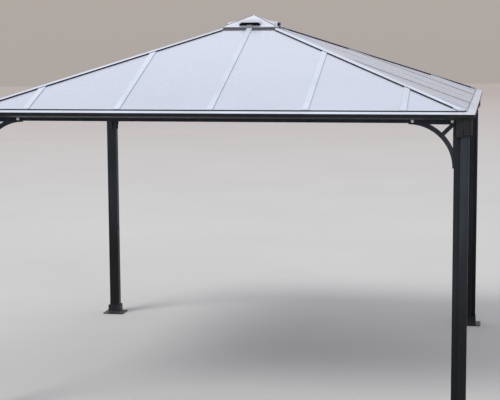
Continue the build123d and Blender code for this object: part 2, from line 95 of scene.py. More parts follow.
# How much of a layer shows over the coat below it.
RUN_DUST = 0.18
GROUND_DUST = 0.35
EDGE_WEAR = 0.55
SPECK_DUST = 0.25
INNER_POST = 0.55
# The next two are shares of painted shade on the bars' sides.
BAR_SIDE_SHADE_SHARE = 0.04
BAR_SIDE_SHADE_SHARE_BESIDE = 0.34
HOOD_RUNS = 0.22
SHEET_PALE = 0.5
SHEET_FLUTES = 0.04
SHEET_RUNS = 0.02
SHEET_RUNS_LOW = 0.08
SHEET_SPECKS = 0.12
# Share of painted highlight on the gutter corners' edges.
MOULDING_EDGE_HIGHLIGHT = 0.6

# Limits of a unit normal's parts for faces that look to the front and upwards.
FACES_FRONT = -0.7
FACES_UP = 0.5

# Coats: the two tones that each one drifts between.
ANTHRACITE = ((0.0080, 0.0120, 0.0190), (0.0130, 0.0180, 0.0275))
GUTTER_DARK = ((0.0080, 0.0130, 0.0195), (0.0130, 0.0190, 0.0275))
POST_COAT = ((0.027, 0.033, 0.043), (0.035, 0.042, 0.054))
BRACE_COAT = ((0.018, 0.026, 0.038), (0.027, 0.036, 0.050))
FOOT_COAT = ((0.012, 0.0145, 0.018), (0.018, 0.021, 0.026))
VENT_COAT = ((0.235, 0.245, 0.290), (0.290, 0.300, 0.350))
# Near-black, as painted shade inside the eyebrows.
LOUVRE_SHADE_BLACK = ((0.004, 0.0045, 0.006), (0.008, 0.009, 0.011))
PALE_BAR = ((0.60, 0.66, 0.76), (0.50, 0.54, 0.61))
GUARD_COAT = ((0.58, 0.62, 0.70), (0.48, 0.51, 0.57))
# Painted shade along the vent cap's ridges.
RIDGE_SHADE_TONE = ((0.080, 0.080, 0.095), (0.060, 0.060, 0.070))
HOOD_COAT = ((0.64, 0.67, 0.76), (0.57, 0.59, 0.67))
MOULDED = ((0.010, 0.011, 0.013), (0.017, 0.0185, 0.022))
# Painted sky reflection on the gutter corners' rim top.
RIM_PAINTED_REFLECTION = ((0.60, 0.60, 0.68), (0.52, 0.52, 0.58))
SHEET = ((0.570, 0.603, 0.702), (0.544, 0.579, 0.680))
RUBBER = ((0.012, 0.012, 0.013), (0.030, 0.030, 0.032))
POLISHED = ((0.88, 0.89, 0.91), (0.704, 0.712, 0.728))
FLOOR = ((0.50, 0.495, 0.485), (0.53, 0.525, 0.515))

# Single tones of the layers over the coats.
# Dust; round the vent cap's eyebrows the same tone is painted shade.
DUST_AND_SHADE = (0.11, 0.105, 0.095)
BARE_METAL = (0.20, 0.205, 0.22)
# Painted shade on the bars' sides and on the hip caps' side wings.
PAINTED_SIDE_SHADE = (0.035, 0.036, 0.040)
DEEP_SHADE = (0.0045, 0.005, 0.006)
GUTTER_PAINTED_SHADE = (0.003, 0.0033, 0.004)
# Painted light on the gutter's raked floor.
RAKE_PAINTED_LIGHT = (0.028, 0.029, 0.036)
# Painted highlight on the gutter corners' edges.
PAINTED_EDGE_HIGHLIGHT = (0.075, 0.078, 0.075)
# Painted light at the vent cap's foot.
PAINTED_RIM_LIGHT = (0.92, 0.93, 0.98)
CLIP_GREY = (0.27, 0.28, 0.31)
SHEET_UPPER = (0.655, 0.685, 0.785)
SHEET_WALL = (0.38, 0.40, 0.47)
SHEET_DIRT = (0.30, 0.29, 0.27)
SHEET_SPECK = (0.22, 0.20, 0.17)
FLOOR_FAR = (0.385, 0.335, 0.305)


# Node helpers


def new_material(name):
    made = bpy.data.materials.new(name)
    made.use_nodes = True
    return made, made.node_tree, made.node_tree.nodes["Principled BSDF"]


def add_node(tree, kind, inputs=None, **settings):
    made = tree.nodes.new(kind)
    for key, value in settings.items():
        setattr(made, key, value)
    for key, value in (inputs or {}).items():
        if isinstance(value, bpy.types.NodeSocket):
            tree.links.new(value, made.inputs[key])
        else:
            made.inputs[key].default_value = value
    return made


def maths(tree, operation, first, second=0.0, third=0.0):
    inputs = {0: first, 1: second, 2: third}
    return add_node(tree, "ShaderNodeMath", inputs, operation=operation).outputs[0]


def times(tree, first, second):
    return maths(tree, "MULTIPLY", first, second)


def split(tree, vector):
    return add_node(tree, "ShaderNodeSeparateXYZ", {0: vector}).outputs


def place(tree):
    return add_node(tree, "ShaderNodeTexCoord").outputs["Object"]


def axes(tree):
    return split(tree, place(tree))


def true_normal(tree):
    return split(tree, add_node(tree, "ShaderNodeNewGeometry").outputs["True Normal"])


def plan_sizes(tree):
    """Distances of a point from the two centre planes, and its height."""
    parts = axes(tree)
    return maths(tree, "ABSOLUTE", parts[0]), maths(tree, "ABSOLUTE", parts[1]), parts[2]


def reach_and_along(tree):
    """How far out a point of a side lies, how far along that side from its middle, how high."""
    x_size, y_size, height = plan_sizes(tree)
    return maths(tree, "MAXIMUM", x_size, y_size), maths(tree, "MINIMUM", x_size, y_size), height


def over_roof(tree, level):
    """One where a point lies more than level above the roof plane, zero below it."""
    reach, _, height = reach_and_along(tree)
    rise = maths(tree, "SUBTRACT", height, EAVE_LEVEL)
    inward = maths(tree, "SUBTRACT", EAVE_HALF, reach)
    above = maths(
        tree, "SUBTRACT", times(tree, rise, cos(SLOPE)), times(tree, inward, sin(SLOPE))
    )
    return maths(tree, "GREATER_THAN", above, level)


def stretched(tree, factors):
    inputs = {0: place(tree), 1: factors}
    return add_node(tree, "ShaderNodeVectorMath", inputs, operation="MULTIPLY").outputs[0]


def noise(tree, scale, detail=3.0, roughness=0.55, vector=None):
    inputs = {
        "Vector": vector or place(tree), "Scale": scale, "Detail": detail, "Roughness": roughness,
    }
    return add_node(tree, "ShaderNodeTexNoise", inputs).outputs["Fac"]


def span(tree, value, low, high, start=0.0, end=1.0):
    """Start to end where the value goes from low to high, and level beyond both."""
    inputs = {"Value": value, "From Min": low, "From Max": high, "To Min": start, "To Max": end}
    return add_node(tree, "ShaderNodeMapRange", inputs).outputs["Result"]


def mix(tree, factor, first, second):
    made = add_node(tree, "ShaderNodeMix", data_type="RGBA")
    for index, value in ((0, factor), (6, first), (7, second)):
        if isinstance(value, bpy.types.NodeSocket):
            tree.links.new(value, made.inputs[index])
        else:
            made.inputs[index].default_value = (*value, 1.0) if index > 0 else value
    return made.outputs[2]


def patches(tree, scale, detail, low, high, **how):
    """Mask of soft patches: the noise between two of its levels."""
    return span(tree, noise(tree, scale, detail, **how), low, high)


def clouded(tree, tones, scale, detail=4.0, low=0.35, high=0.7):
    """Colour that drifts between the two tones of a coat."""
    return mix(tree, patches(tree, scale, detail, low, high), *tones)


def uneven(tree, scale, detail, start, end, low=0.3, high=0.7):
    """Value that drifts between start and end."""
    return span(tree, noise(tree, scale, detail), low, high, start, end)


def bevelled(tree, radius):
    return add_node(tree, "ShaderNodeBevel", {"Radius": radius}, samples=4).outputs["Normal"]


def edges(tree, radius, low=0.004, high=0.05):
    """Mask of the outer edges, where the rounded normal leaves the face's own."""
    inputs = {
        0: bevelled(tree, radius),
        1: add_node(tree, "ShaderNodeNewGeometry").outputs["Normal"],
    }
    dot = add_node(tree, "ShaderNodeVectorMath", inputs, operation="DOT_PRODUCT")
    return span(tree, dot.outputs["Value"], 1.0 - low, 1.0 - high)


def bump(tree, height, distance, strength=1.0, normal=None):
    inputs = {"Height": height, "Distance": distance, "Strength": strength}
    if normal is not None:
        inputs["Normal"] = normal
    return add_node(tree, "ShaderNodeBump", inputs).outputs["Normal"]


def coat_normal(tree, scale, strength, radius):
    """Fine grain of a coat over rounded edges."""
    return bump(tree, noise(tree, scale, 2.0), COAT_GRAIN, strength, bevelled(tree, radius))


def wire(tree, shader, **sockets):
    """Links the sockets whose value changes over the surface."""
    for name, value in sockets.items():
        tree.links.new(value, shader.inputs[name.replace("_", " ")])


def settle(shader, **values):
    """Sets the sockets whose value is the same all over the surface."""
    for name, value in values.items():
        shader.inputs[name.replace("_", " ")].default_value = value


# Masks of the materials


def apron_shade(tree):
    """Painted shade: the vent frame's apron is darker than the upright face over it, less so at
    its foot.
    """
    reach, _, height = reach_and_along(tree)
    apron = maths(tree, "LESS_THAN", height, APRON_LEVEL)
    depth = span(tree, reach, *APRON_FADE, start=0.80, end=0.30)
    return times(tree, apron, depth)


def painted_lit_rim(tree):
    """Painted light on the foot of the cap, from the frame's top edge to the cap's eave, beside
    the brows; under the brows, which shade it, it is left out.
    """
    _, along, height = reach_and_along(tree)
    middle, half = (HOOD_EAVE + STRIP_LEVEL) / 2, (HOOD_EAVE - STRIP_LEVEL) / 2
    level = maths(tree, "COMPARE", height, middle, half)
    return times(tree, level, span(tree, along, *BROW_FADE))


def post_shade(tree):
    """Painted shade: the posts' inner tube is darker than the outer one, and both darken
    downwards.
    """
    reach, _, height = reach_and_along(tree)
    inner = maths(tree, "LESS_THAN", reach, WRAP_REACH)
    lower = span(tree, height, *POST_FADE, start=0.0, end=0.92)
    return maths(tree, "MAXIMUM", times(tree, inner, INNER_POST), lower)


def bar_side_painted_shade(tree):
    """Painted shade on the sides of the bars' caps that look to the front, most beside the middle
    bar.
    """
    _, along, _ = reach_and_along(tree)
    from_bar = maths(tree, "ABSOLUTE", maths(tree, "SUBTRACT", along, BAR_SPACING))
    beside = maths(tree, "LESS_THAN", from_bar, BAR_SPACING / 2)
    share = maths(tree, "MULTIPLY_ADD", beside, BAR_SIDE_SHADE_SHARE_BESIDE, BAR_SIDE_SHADE_SHARE)
    return times(tree, maths(tree, "LESS_THAN", true_normal(tree)[1], FACES_FRONT), share)


def rim_top_painted_reflection(tree):
    """Mask of the upper faces of the gutter that lie in the roof plane, which are painted pale as
    a sky reflection.
    """
    upward = maths(tree, "GREATER_THAN", true_normal(tree)[2], FACES_UP)
    return times(tree, over_roof(tree, RIM_LEVEL), upward)


def over_glazing(tree):
    """Mask of what stands over the panels' upper side."""
    return over_roof(tree, GLAZING_LEVEL)


def hip_wing_painted_shade(tree):
    """Painted shade on the hip caps' wings over the left and right slopes, heavier lower down."""
    x_size, y_size, _ = plan_sizes(tree)
    side_wing = maths(tree, "GREATER_THAN", x_size, y_size)
    reach = maths(tree, "MAXIMUM", x_size, y_size)
    return times(tree, side_wing, span(tree, reach, *HIP_FADE, start=0.18, end=0.42))


def brow_painted_shade(tree):
    """Painted shade: a soft grey patch round each eyebrow of the vent cap."""
    _, along, height = reach_and_along(tree)
    half_width, patch_height = BROW_PATCH
    aside = maths(tree, "DIVIDE", along, half_width)
    over = maths(tree, "DIVIDE", maths(tree, "SUBTRACT", height, HOOD_EAVE), patch_height)
    ring = maths(tree, "ADD", times(tree, aside, aside), times(tree, over, over))
    soft = span(tree, ring, 1.25, 0.55, start=0.0, end=0.34)
    return times(tree, soft, uneven(tree, 30.0, 3.0, 0.7, 1.0))


# Materials


def coat_layers(tree, tones, dust_height=DUST_HEIGHT):
    """Colour of a dark powder coat: cloudy tone, faint runs, dust low down and worn edges."""
    colour = clouded(tree, tones, 2.3, high=0.65)
    runs = patches(tree, 6.0, 3.0, 0.45, 0.75, vector=stretched(tree, (3.0, 3.0, 0.25)))
    colour = mix(tree, times(tree, runs, RUN_DUST), colour, DUST_AND_SHADE)
    near_ground = span(tree, axes(tree)[2], dust_height, 0.0)
    low_dust = times(tree, near_ground, patches(tree, 9.0, 5.0, 0.35, 0.7))
    colour = mix(tree, times(tree, low_dust, GROUND_DUST), colour, DUST_AND_SHADE)
    wear = times(tree, edges(tree, 0.0015), patches(tree, 30.0, 4.0, 0.55, 0.68))
    return mix(tree, times(tree, wear, EDGE_WEAR), colour, BARE_METAL)


def powder_coat(
    name, tones=ANTHRACITE, dust_height=DUST_HEIGHT, darker=None, brighter=None, specular=0.24
):
    """Dark coated aluminium, with painted shade in the mask darker and painted light in the mask
    brighter.
    """
    made, tree, shader = new_material(name)
    colour = coat_layers(tree, tones, dust_height)
    if darker is not None:
        colour = mix(tree, darker(tree), colour, DEEP_SHADE)
    if brighter is not None:
        colour = mix(tree, brighter(tree), colour, PAINTED_RIM_LIGHT)
    normal = coat_normal(tree, 900.0, 0.5, 0.0018)
    roughness = uneven(tree, 14.0, 4.0, 0.38, 0.52)
    wire(tree, shader, Base_Color=colour, Roughness=roughness, Normal=normal)
    settle(shader, Specular_IOR_Level=specular)
    return made


def gutter_under(tree):
    """Dark coat under the gutter's rim, with painted shade deepest low on the face and painted
    light on the raked floor.
    """
    height = axes(tree)[2]
    face = span(tree, height, EAVE_LEVEL, GUTTER_FOOT, start=0.35, end=0.9)
    raked = maths(tree, "LESS_THAN", height, RAKE_LEVEL)
    colour = mix(tree, face, coat_layers(tree, GUTTER_DARK), GUTTER_PAINTED_SHADE)
    return mix(tree, raked, colour, RAKE_PAINTED_LIGHT)


def bar_under(tree):
    """Dark coat of the webs and flanges under the glazing."""
    return coat_layers(tree, ANTHRACITE)


def pale_paint(name, tones, pale_where=None, under=None, side_shade_mask=None, coat=0.2, specular=0.5):
    """Pale coated aluminium; outside the mask pale_where it has the dark coat under."""
    made, tree, shader = new_material(name)
    colour = clouded(tree, tones, 1.8)
    specks = patches(tree, 55.0, 5.0, 0.62, 0.74, roughness=0.7)
    colour = mix(tree, times(tree, specks, SPECK_DUST), colour, DUST_AND_SHADE)
    if side_shade_mask is not None:
        # Painted shade on the bars' sides and the hip caps' side wings.
        colour = mix(tree, side_shade_mask(tree), colour, PAINTED_SIDE_SHADE)
    if pale_where is not None:
        colour = mix(tree, pale_where(tree), under(tree), colour)
    normal = coat_normal(tree, 700.0, 0.4, 0.001)
    roughness = uneven(tree, 18.0, 4.0, 0.28, 0.42)
    wire(tree, shader, Base_Color=colour, Roughness=roughness, Normal=normal)
    settle(shader, Specular_IOR_Level=specular, Coat_Weight=coat, Coat_Roughness=0.15)
    return made


def hood_paint(name):
    """Painted sheet of the vent cap, with painted light at its foot, painted shade round the
    brows and the grey clips that hold it down.
    """
    made, tree, shader = new_material(name)
    colour = clouded(tree, HOOD_COAT, 5.0)
    runs = patches(tree, 11.0, 5.0, 0.5, 0.8, vector=stretched(tree, (1.0, 1.0, 0.3)))
    colour = mix(tree, times(tree, runs, HOOD_RUNS), colour, DUST_AND_SHADE)
    # Painted shade round each eyebrow.
    colour = mix(tree, brow_painted_shade(tree), colour, DUST_AND_SHADE)
    colour = mix(tree, painted_lit_rim(tree), colour, PAINTED_RIM_LIGHT)
    clip = maths(tree, "GREATER_THAN", reach_and_along(tree)[0], CLIP_REACH)
    colour = mix(tree, clip, colour, CLIP_GREY)
    normal = coat_normal(tree, 600.0, 0.4, 0.0015)
    roughness = uneven(tree, 20.0, 4.0, 0.3, 0.45)
    wire(tree, shader, Base_Color=colour, Roughness=roughness, Normal=normal)
    return made


def sheet_dirt(tree, reach):
    """Thin runs of dirt on the roof sheets, heavier above their lower edge."""
    runs = patches(tree, 2.2, 3.0, 0.42, 0.75, roughness=0.5)
    low = span(tree, reach, *SHEET_FOOT)
    return times(tree, runs, maths(tree, "MULTIPLY_ADD", low, SHEET_RUNS_LOW, SHEET_RUNS))


def twin_wall(name):
    """Hollow roof sheet: its flutes run up the slope, and it pales towards the top."""
    made, tree, shader = new_material(name)
    reach, along, _ = reach_and_along(tree)
    flute = maths(tree, "PINGPONG", along, FLUTE / 2)
    inside = span(tree, flute, 0.0, FLUTE / 8)
    wall = maths(tree, "MULTIPLY_ADD", inside, -SHEET_FLUTES, SHEET_FLUTES)
    colour = clouded(tree, SHEET, 0.9, 3.0, low=0.3)
    upper = times(tree, span(tree, reach, *SHEET_FADE), SHEET_PALE)
    colour = mix(tree, upper, colour, SHEET_UPPER)
    colour = mix(tree, wall, colour, SHEET_WALL)
    colour = mix(tree, sheet_dirt(tree, reach), colour, SHEET_DIRT)
    specks = patches(tree, 60.0, 5.0, 0.71, 0.77, roughness=0.7)
    colour = mix(tree, times(tree, specks, SHEET_SPECKS), colour, SHEET_SPECK)
    normal = bump(tree, span(tree, flute, 0.0, FLUTE / 2), 0.00002, 0.2)
    roughness = uneven(tree, 3.0, 5.0, 0.22, 0.34, high=0.75)
    wire(tree, shader, Base_Color=colour, Roughness=roughness, Normal=normal)
    settle(shader, Coat_Weight=0.25, Coat_Roughness=0.12, Transmission_Weight=0.10, IOR=1.5)
    return made


def rubber(name):
    """Black rubber with a dull, slightly rough skin."""
    made, tree, shader = new_material(name)
    colour = clouded(tree, RUBBER, 25.0)
    normal = bump(tree, noise(tree, 300.0, 3.0), 0.0003, 0.6)
    roughness = uneven(tree, 40.0, 3.0, 0.6, 0.8)
    wire(tree, shader, Base_Color=colour, Roughness=roughness, Normal=normal)
    return made


def bright_metal(name):
    """Pale brushed metal; the fine lines run level."""
    made, tree, shader = new_material(name)
    colour = clouded(tree, POLISHED, 60.0)
    lines = noise(tree, 1.0, 3.0, vector=stretched(tree, (900.0, 900.0, 5000.0)))
    normal = bump(tree, lines, 0.00006, 0.5)
    roughness = uneven(tree, 90.0, 3.0, 0.16, 0.34)
    wire(tree, shader, Base_Color=colour, Roughness=roughness, Normal=normal)
    settle(shader, Metallic=0.1)
    return made


def moulded_under(tree):
    """Dark plastic of the gutter corners, with painted shade in the upper part and painted
    highlights along the edges.
    """
    upper = span(tree, axes(tree)[2], *MOULDING_FADE, start=0.0, end=0.75)
    colour = mix(tree, upper, coat_layers(tree, MOULDED), GUTTER_PAINTED_SHADE)
    edge_highlight = times(tree, edges(tree, 0.004, low=0.01, high=0.2), MOULDING_EDGE_HIGHLIGHT)
    return mix(tree, edge_highlight, colour, PAINTED_EDGE_HIGHLIGHT)


def moulding(name):
    """Matt moulded plastic of the gutter corners; its rim's top face is painted pale as a sky
    reflection.
    """
    made, tree, shader = new_material(name)
    rim = clouded(tree, RIM_PAINTED_REFLECTION, 6.0)
    colour = mix(tree, rim_top_painted_reflection(tree), moulded_under(tree), rim)
    grain = noise(tree, 420.0, 4.0, roughness=0.7)
    normal = bump(tree, grain, 0.0003, 0.5, bevelled(tree, 0.004))
    roughness = uneven(tree, 30.0, 4.0, 0.45, 0.62)
    wire(tree, shader, Base_Color=colour, Roughness=roughness, Normal=normal)
    settle(shader, Specular_IOR_Level=0.35)
    return made


finishes = {
    "frame": powder_coat("anthracite_powder_coat"),
    "post": powder_coat("post_powder_coat", POST_COAT, 0.25, post_shade, specular=0.22),
    "brace": powder_coat("brace_powder_coat", BRACE_COAT),
    "foot": powder_coat("foot_powder_coat", FOOT_COAT, 0.06),
    "vent": powder_coat("vent_frame_coat", VENT_COAT, darker=apron_shade, brighter=painted_lit_rim),
    # The gutter's dark coat, with its rim's top faces painted pale as a sky reflection.
    "gutter": pale_paint("gutter_coat", PALE_BAR, rim_top_painted_reflection, gutter_under, coat=0.0, specular=0.3),
    "bars": pale_paint("bar_coat", PALE_BAR, over_glazing, bar_under, bar_side_painted_shade),
    "hips": pale_paint("hip_cap_coat", PALE_BAR, side_shade_mask=hip_wing_painted_shade),
    "guard": pale_paint("gutter_guard_coat", GUARD_COAT),
    "louvre": powder_coat("louvre_painted_shade", LOUVRE_SHADE_BLACK),
    "ridge_shade": pale_paint("ridge_painted_shade", RIDGE_SHADE_TONE),
    "hood": hood_paint("vent_cap_coat"),
    "moulding": moulding("corner_moulding"),
    "glazing": twin_wall("twin_wall_sheet"),
    "rubber": rubber("black_rubber"),
    "bolt": bright_metal("polished_cap"),
}
# The finish of each solid goes by the first of these that its node's name starts with.
CARRIED = (
    ("brace_bolt_caps", "bolt"), ("brace_", "brace"), ("post_", "post"), ("beam_", "frame"),
    ("hip_rafter", "frame"), ("foot_", "foot"), ("gutter_corner", "moulding"),
    ("gutter_", "gutter"), ("glazing_bars", "bars"), ("roof_panels", "glazing"),
    # The hip gaskets' black rubber also serves as painted shade under the hip caps' edges.
    ("hip_caps", "hips"), ("hip_gaskets", "rubber"), ("vent_frame", "vent"),
    ("vent_cap", "hood"),
)
for name, carried in nodes.items():
    finish = next(key for start, key in CARRIED if name.startswith(start))
    for material_slot in carried.material_slots:
        material_slot.material = finishes[finish]


# Shape helpers of the added pieces


def piece(name, shape, finish):
    """Turns a bmesh into an object that rides with the frame."""
    bmesh.ops.recalc_face_normals(shape, faces=shape.faces)
    mesh = bpy.data.meshes.new(name)
    shape.to_mesh(mesh)
    shape.free()
    mesh.materials.append(finishes[finish])
    made = bpy.data.objects.new(name, mesh)
    bpy.context.scene.collection.objects.link(made)
    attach(made, "root")


def quarter_turn(turn):
    return Matrix.Rotation(turn * pi / 2, 4, "Z")


def slope_place(turn):
    """Matrix of one roof slope: x along the eave, y up the slope, z out of the glazing."""
    at_edge = Matrix.Translation((0.0, -SLOPE_EDGE, EDGE_LEVEL)) @ Matrix.Rotation(SLOPE, 4, "X")
    return quarter_turn(turn) @ at_edge


def side_place(turn):
    """Matrix of one upright side: x along the eave, y outwards, z up."""
    return quarter_turn(turn) @ Matrix.Scale(-1.0, 4, (0.0, 1.0, 0.0))


def roof_point(reach, along, lift):
    """Point over the front slope, at a plan reach, a place along the eave and a lift."""
    level = EAVE_LEVEL + (EAVE_HALF - reach) * tan(SLOPE) + lift / cos(SLOPE)
    return Vector((along, -reach, level))


def loft(shape, first, second):
    """Solid between two outlines with the same number of corners."""
    start = [shape.verts.new(corner) for corner in first]
    end = [shape.verts.new(corner) for corner in second]
    shape.faces.new(start[::-1])
    shape.faces.new(end)
    for index in range(len(start)):
        follow = (index + 1) % len(start)
        shape.faces.new((start[index], start[follow], end[follow], end[index]))


def bar_along(shape, section, start, end):
    """Bar along x with a section in y and z, square at both ends."""
    loft(shape, [(start, *corner) for corner in section], [(end, *corner) for corner in section])


# Trim on the roof slopes

SEAL_LIP = 0.003
SEAL_SHEET = 0.0006
SEAL_CLEAR = 0.0001
SEAL_TIP = 0.007
# Black at the front and back as painted shade, pale at the sides as painted light.
SEAL_SHADE_AND_LIGHT_FINISH = ("rubber", "guard")
HIP_CLEAR = 0.001
HIP_GAP = (HIP_CAP_HALF + HIP_CLEAR) * sqrt(2)
BAR_CLEAR = 0.0004
BAR_GAP = BAR_WIDTH / 2 + BAR_CLEAR


def seal_section():
    """Outline of the channel that closes the panels' lower edge: up the slope, out."""
    clear, outer = SEAL_CLEAR, SEAL_CLEAR + SEAL_SHEET
    return [
        (-outer, -PANEL - outer),
        (SEAL_LIP, -PANEL - outer),
        (SEAL_LIP, -PANEL - clear),
        (-clear, -PANEL - clear),
        (-clear, clear),
        (SEAL_LIP, clear),
        (SEAL_LIP, outer),
        (-outer, outer),
    ]


def leaning(section, along, lean):
    """The section at a place along the eave, shifted along as it goes up the slope."""
    return [(along + lean * max(up, 0.0) * cos(SLOPE), up, out) for up, out in section]


def edge_seals():
    """Channels over the panels' lower ends: black rubber at the front and back as painted shade,
    the pale coat at the sides as painted light.
    """
    section = seal_section()
    low, high = section[0][1], section[-1][1]
    face = [section[0], (-SEAL_CLEAR, low), (-SEAL_CLEAR, high), section[-1]]
    hip_end = SLOPE_EDGE - HIP_GAP
    stops = [(-hip_end, 1.0)]
    for bar in BAR_PLACES:
        stops += [(bar - BAR_GAP, 0.0), (bar + BAR_GAP, 0.0)]
    stops.append((hip_end, -1.0))
    for turn, side in enumerate(SIDE_NAMES):
        shape = bmesh.new()
        for start, end in zip(stops[::2], stops[1::2]):
            loft(shape, leaning(section, *start), leaning(section, *end))
        for end in (-1.0, 1.0):
            bar_along(shape, face, end * hip_end, end * (SLOPE_EDGE - SEAL_TIP))
        shape.transform(slope_place(turn))
        piece(f"edge_seals_{side}", shape, SEAL_SHADE_AND_LIGHT_FINISH[turn % 2])


HIP_LIP_WIDTH = 0.003
HIP_LIP_SHEET = 0.0013
HIP_LIP_CLEAR = 0.0002
HIP_LIP_LIFT = 0.0001
HIP_LIP_HEAD = 0.0006
HIP_LIP_FOOT = 0.001


def hip_lips():
    """Rubber lips on the panels along both sides of the hip caps, broken at the bars; their black
    also serves as painted shade under the caps' edges.
    """
    shape = bmesh.new()
    inner = (HIP_CAP_HALF + HIP_LIP_CLEAR) * sqrt(2)
    outer = inner + HIP_LIP_WIDTH * sqrt(2)
    stops = [APRON_REACH + HIP_LIP_HEAD - inner]
    for bar in BAR_PLACES[3:]:
        stops += [bar - BAR_GAP, bar + BAR_GAP]
    stops.append(SLOPE_EDGE - SEAL_LIP - HIP_LIP_FOOT - outer)
    section = (
        (inner, HIP_LIP_LIFT), (outer, HIP_LIP_LIFT),
        (outer, HIP_LIP_SHEET), (inner, HIP_LIP_SHEET),
    )
    for turn in range(4):
        spin = quarter_turn(turn)
        for side in (-1.0, 1.0):
            ends = [
                [spin @ roof_point(stop + off, side * stop, lift) for off, lift in section]
                for stop in stops
            ]
            for start, end in zip(ends[::2], ends[1::2]):
                loft(shape, start, end)
    piece("hip_lips", shape, "rubber")


COVER_SHEET = 0.0012
COVER_CLEAR = 0.0002


def bar_end_covers():
    """Thin plates over the lower ends of the glazing bars."""
    half, top = BAR_WIDTH / 2, BAR_RISE + COVER_CLEAR
    inner, outer = -COVER_CLEAR, -COVER_CLEAR - COVER_SHEET
    section = ((outer, -PANEL), (outer, top), (inner, top), (inner, -PANEL))
    for turn, side in enumerate(SIDE_NAMES):
        shape = bmesh.new()
        for bar in BAR_PLACES:
            bar_along(shape, section, bar - half, bar + half)
        shape.transform(slope_place(turn))
        piece(f"bar_end_covers_{side}", shape, "bars")


# Trim in and on the gutter

RIM_CLEAR = 0.0002
GUARD_CLEAR = 0.0001
GUARD_INNER = SLOPE_EDGE + GUARD_CLEAR
GUARD_OUTER = EAVE_HALF - RIM_WIDTH - RIM_CLEAR
GUARD_TOP = EAVE_LEVEL + 0.0165
GUARD_SHEET = 0.0008
GUARD_RAIL = 0.0043
GUARD_PITCH = 0.020
GUARD_BRIDGE = 0.006


def guard_section(inner, outer):
    low, high = GUARD_TOP - GUARD_SHEET, GUARD_TOP
    return ((inner, low), (outer, low), (outer, high), (inner, high))


def guard_rail(shape, inner, outer):
    """Rail of a guard strip, mitred at both ends."""
    section = guard_section(inner, outer)
    loft(
        shape,
        [(-reach, reach, level) for reach, level in section],
        [(reach, reach, level) for reach, level in section],
    )


def gutter_guards():
    """Slotted strips that cover the gap between the panels and the gutter's rim."""
    inner, outer = GUARD_INNER + GUARD_RAIL, GUARD_OUTER - GUARD_RAIL
    slots = int(2 * (GUARD_INNER - GUARD_PITCH) / GUARD_PITCH)
    half = GUARD_BRIDGE / 2
    for turn, side in enumerate(SIDE_NAMES):
        shape = bmesh.new()
        guard_rail(shape, GUARD_INNER, inner)
        guard_rail(shape, outer, GUARD_OUTER)
        for index in range(slots + 1):
            middle = (index - slots / 2) * GUARD_PITCH
            bar_along(shape, guard_section(inner, outer), middle - half, middle + half)
        shape.transform(side_place(turn))
        piece(f"gutter_guard_{side}", shape, "guard")


LIP_WIDTH = 0.0045
LIP_SHEET = 0.0006
LIP_LIFT = 0.0001
LIP_TIP = 0.006


def rim_shade_strips():
    """Thin black rubber strips along the inner edge of the rims at the front and the back, as
    painted shade along the panels' lower edge.
    """
    inner = EAVE_HALF - RIM_WIDTH + RIM_CLEAR
    outer = inner + LIP_WIDTH
    rise = (RIM_WIDTH * tan(SLOPE) - RIM_LIFT) / RIM_WIDTH
    corners = ((inner, LIP_LIFT), (outer, LIP_LIFT), (outer, LIP_SHEET), (inner, LIP_SHEET))
    section = [
        (reach, EAVE_LEVEL + RIM_LIFT + (EAVE_HALF - reach) * rise + lift)
        for reach, lift in corners
    ]
    end = SLOPE_EDGE - LIP_TIP
    for turn in (0, 2):
        shape = bmesh.new()
        bar_along(shape, section, -end, end)
        shape.transform(side_place(turn))
        # Black strips as painted shade along the panels' lower edge.
        piece(f"rim_shade_strip_{SIDE_NAMES[turn]}", shape, "rubber")


# Trim on the vent

LOUVRE_BLADES = 3
LOUVRE_PITCH = 0.0078
LOUVRE_CLIMB = 0.0095
LOUVRE_OUTER = HOOD_HALF - 0.009
LOUVRE_INNER = HOOD_HALF - 0.021
LOUVRE_SHEET = 0.0008
LOUVRE_SILL = 0.001
LOUVRE_CLEAR = 0.0008
LOUVRE_DIP = 0.003


def brow_half_width(level):
    """Half the width of the eyebrow's opening at a height over its sill."""
    over = max(level - (BROW_HEIGHT - BROW_ROUND), 0.0)
    return BROW_HALF - BROW_ROUND + sqrt(max(BROW_ROUND ** 2 - over ** 2, 0.0))


def louvres():
    """Sloping blades behind each eyebrow, so that no light shows through; their near-black coat
    is painted shade.
    """
    for turn, side in enumerate(SIDE_NAMES):
        shape = bmesh.new()
        for blade in range(LOUVRE_BLADES):
            low = LOUVRE_SILL + blade * LOUVRE_PITCH
            high = low + LOUVRE_CLIMB
            half = brow_half_width(high - LOUVRE_DIP) - LOUVRE_CLEAR
            section = [
                (LOUVRE_OUTER, HOOD_EAVE + low),
                (LOUVRE_INNER, HOOD_EAVE + high),
                (LOUVRE_INNER, HOOD_EAVE + high - LOUVRE_SHEET),
                (LOUVRE_OUTER, HOOD_EAVE + low - LOUVRE_SHEET),
            ]
            bar_along(shape, section, -half, half)
        shape.transform(side_place(turn))
        piece(f"louvres_{side}", shape, "louvre")


SEAM_HALF = 0.0072
SEAM_RISE = 0.0012
SEAM_CROWN = 0.7
SEAM_FOOT = 0.0003
SEAM_ENDS = (HOOD_HALF - 0.001, 0.006)


def seam_ring(reach):
    """Section of the bead across a ridge of the cap, at a plan reach."""
    climb = HOOD_RISE / HOOD_HALF
    drop = SEAM_HALF / sqrt(2) * climb
    middle = Vector((reach, -reach, HOOD_EAVE + (HOOD_HALF - reach) * climb))
    across = Vector((1.0, 1.0, 0.0)) / sqrt(2) * SEAM_HALF
    outline = (
        (-1.0, -(drop + SEAM_FOOT)), (1.0, -(drop + SEAM_FOOT)),
        (SEAM_CROWN, SEAM_RISE - drop), (0.0, SEAM_RISE), (-SEAM_CROWN, SEAM_RISE - drop),
    )
    return [middle + across * aside + Vector((0.0, 0.0, up)) for aside, up in outline]


